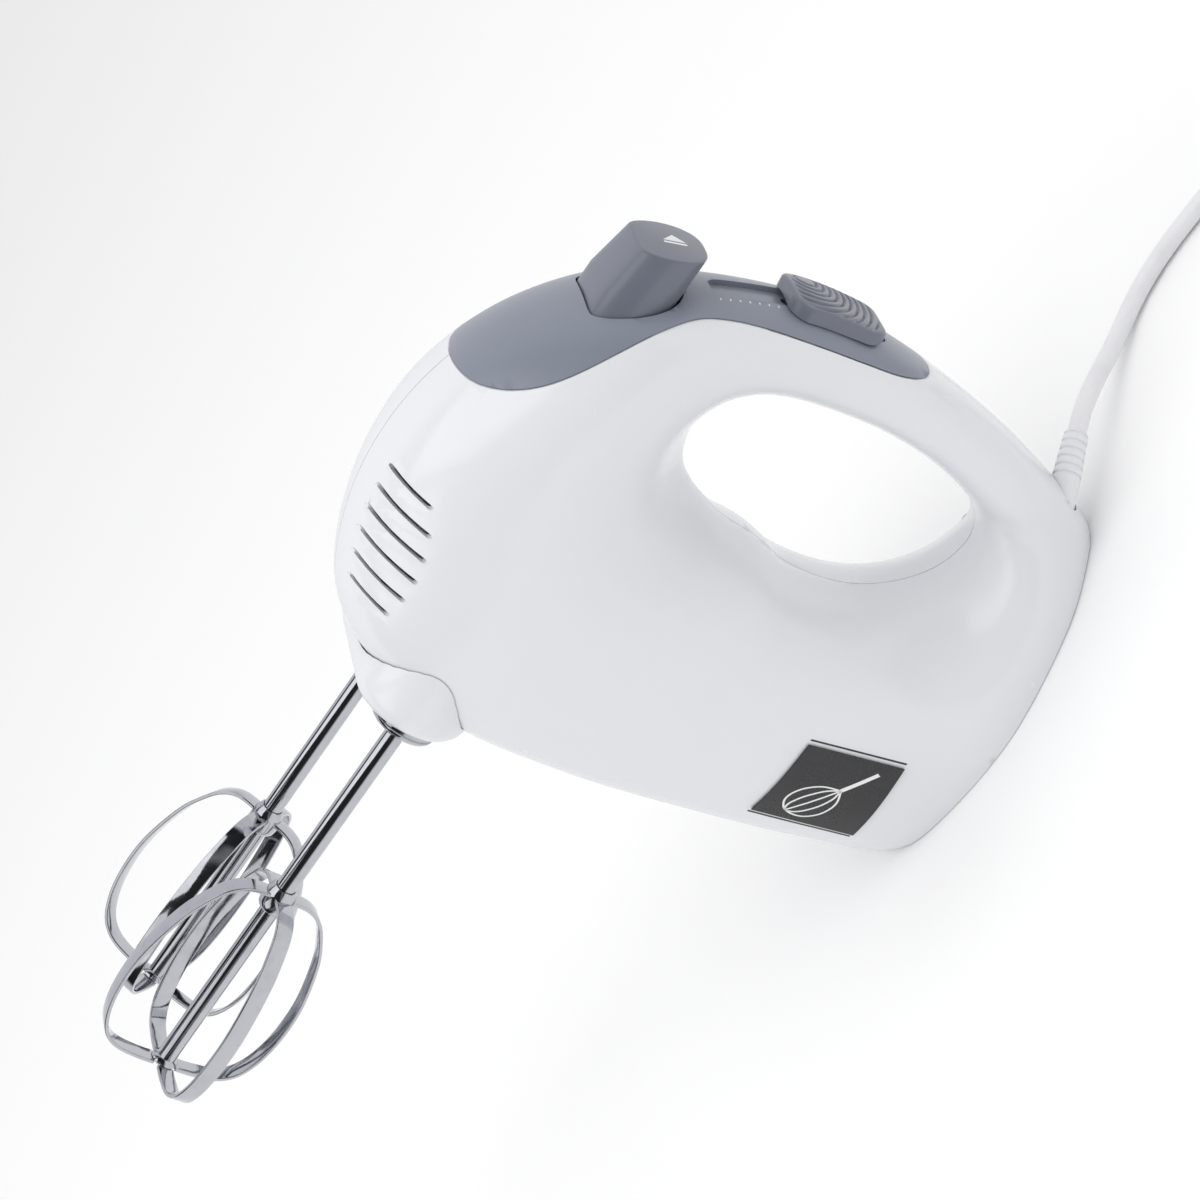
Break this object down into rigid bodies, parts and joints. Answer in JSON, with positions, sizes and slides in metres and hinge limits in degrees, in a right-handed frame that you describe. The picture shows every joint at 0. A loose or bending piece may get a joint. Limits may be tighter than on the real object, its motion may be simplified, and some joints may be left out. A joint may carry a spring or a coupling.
{
  "type": "hand mixer",
  "caption": "Electric hand mixer with an open loop handle, eject button, sliding speed switch and wire-strip beaters.",
  "frame": {"origin": "middle of the flat heel face that the mixer stands on, on the rating plate", "axes": "+Z from the heel to the nose, +X to the handle side, -X along the beaters, -Y to the left side of the mixer as held"},
  "size_m": [0.4466, 0.111, 0.1912],
  "materials": {
    "white_shell": "glossy white moulded plastic",
    "grey_controls": "satin blue-grey moulded plastic",
    "label": "satin black foil label",
    "chrome": "polished chrome plate",
    "zinc_steel": "zinc-plated steel",
    "motor_steel": "bare machined steel",
    "copper": "enamelled copper",
    "bronze": "sintered bronze",
    "nylon": "natural nylon",
    "carbon": "carbon brush",
    "switch_black": "matt black moulding",
    "rating_foil": "satin foil plate",
    "cord_vinyl": "satin white vinyl",
    "pin_nickel": "nickel-plated brass"
  },
  "bodies": {
    "housing": {"housing_left": "white_shell", "housing_right": "white_shell", "top_cover": "grey_controls", "nose_collar": "white_shell", "label_plate": "label", "eject_spring": "zinc_steel", "speed_switch": "switch_black", "motor_core": "motor_steel", "field_coil_left": "copper", "field_coil_right": "copper", "brush_left": "carbon", "brush_holder_left": "nylon", "brush_right": "carbon", "brush_holder_right": "nylon", "bracket_rear": "motor_steel", "bearing_rear": "bronze", "bracket_front": "motor_steel", "bearing_front": "bronze", "motor_bolt_1": "zinc_steel", "motor_bolt_2": "zinc_steel", "socket_ring_left": "chrome", "socket_ring_right": "chrome", "gear_plate": "nylon", "nose_block": "nylon", "housing_screw_1": "zinc_steel", "housing_screw_2": "zinc_steel", "rating_plate": "rating_foil", "mains_cord": "cord_vinyl", "cord_coil": "cord_vinyl", "strain_relief": "cord_vinyl", "cord_tail": "cord_vinyl", "plug_body": "cord_vinyl", "plug_pin_1": "pin_nickel", "plug_pin_2": "pin_nickel"},
    "rotor": {"motor_shaft": "motor_steel", "armature_core": "motor_steel", "winding_rear": "copper", "winding_front": "copper", "commutator": "copper", "cooling_fan": "nylon", "worm": "motor_steel"},
    "spindle_left": {"worm_wheel_left": "nylon", "spindle_left": "motor_steel"},
    "spindle_right": {"worm_wheel_right": "nylon", "spindle_right": "motor_steel"},
    "eject": {"eject_button": "grey_controls", "eject_yoke": "nylon"},
    "speed": {"speed_slider": "grey_controls"},
    "beater_left": {"beater_left_shaft": "chrome", "beater_left_hub": "chrome", "beater_left_wing_1": "chrome", "beater_left_wing_2": "chrome", "beater_left_wing_3": "chrome", "beater_left_wing_4": "chrome"},
    "beater_right": {"beater_right_shaft": "chrome", "beater_right_hub": "chrome", "beater_right_wing_1": "chrome", "beater_right_wing_2": "chrome", "beater_right_wing_3": "chrome", "beater_right_wing_4": "chrome"}
  },
  "joints": [
    {"name": "motor_spin", "type": "hinge", "parent": "housing", "child": "rotor", "pos_m": [-0.04, 0, 0.1], "axis": [0, 0, 1], "continuous": true},
    {"name": "left_spindle_spin", "type": "hinge", "parent": "housing", "child": "spindle_left", "pos_m": [-0.04, -0.02, 0.146], "axis": [1, 0, 0], "continuous": true},
    {"name": "right_spindle_spin", "type": "hinge", "parent": "housing", "child": "spindle_right", "pos_m": [-0.04, 0.02, 0.146], "axis": [1, 0, 0], "continuous": true},
    {"name": "eject_press", "type": "slide", "parent": "housing", "child": "eject", "axis": [-1, 0, 0], "range_m": [0, 0.007], "stiffness_N_per_m": 600, "springref_m": -0.003, "deforming": ["eject_spring"]},
    {"name": "left_beater_release", "type": "slide", "parent": "spindle_left", "child": "beater_left", "axis": [-1, 0, 0], "range_m": [0, 0.007]},
    {"name": "right_beater_release", "type": "slide", "parent": "spindle_right", "child": "beater_right", "axis": [-1, 0, 0], "range_m": [0, 0.007]},
    {"name": "speed_slide", "type": "slide", "parent": "housing", "child": "speed", "axis": [-0.1395, 0, 0.9902], "range_m": [0, 0.016]}
  ],
  "couplings": [
    {"joint": "left_spindle_spin", "follows": "motor_spin", "ratio": 0.074074},
    {"joint": "right_spindle_spin", "follows": "motor_spin", "ratio": -0.074074},
    {"joint": "left_beater_release", "follows": "eject_press", "ratio": 1},
    {"joint": "right_beater_release", "follows": "eject_press", "ratio": 1}
  ]
}
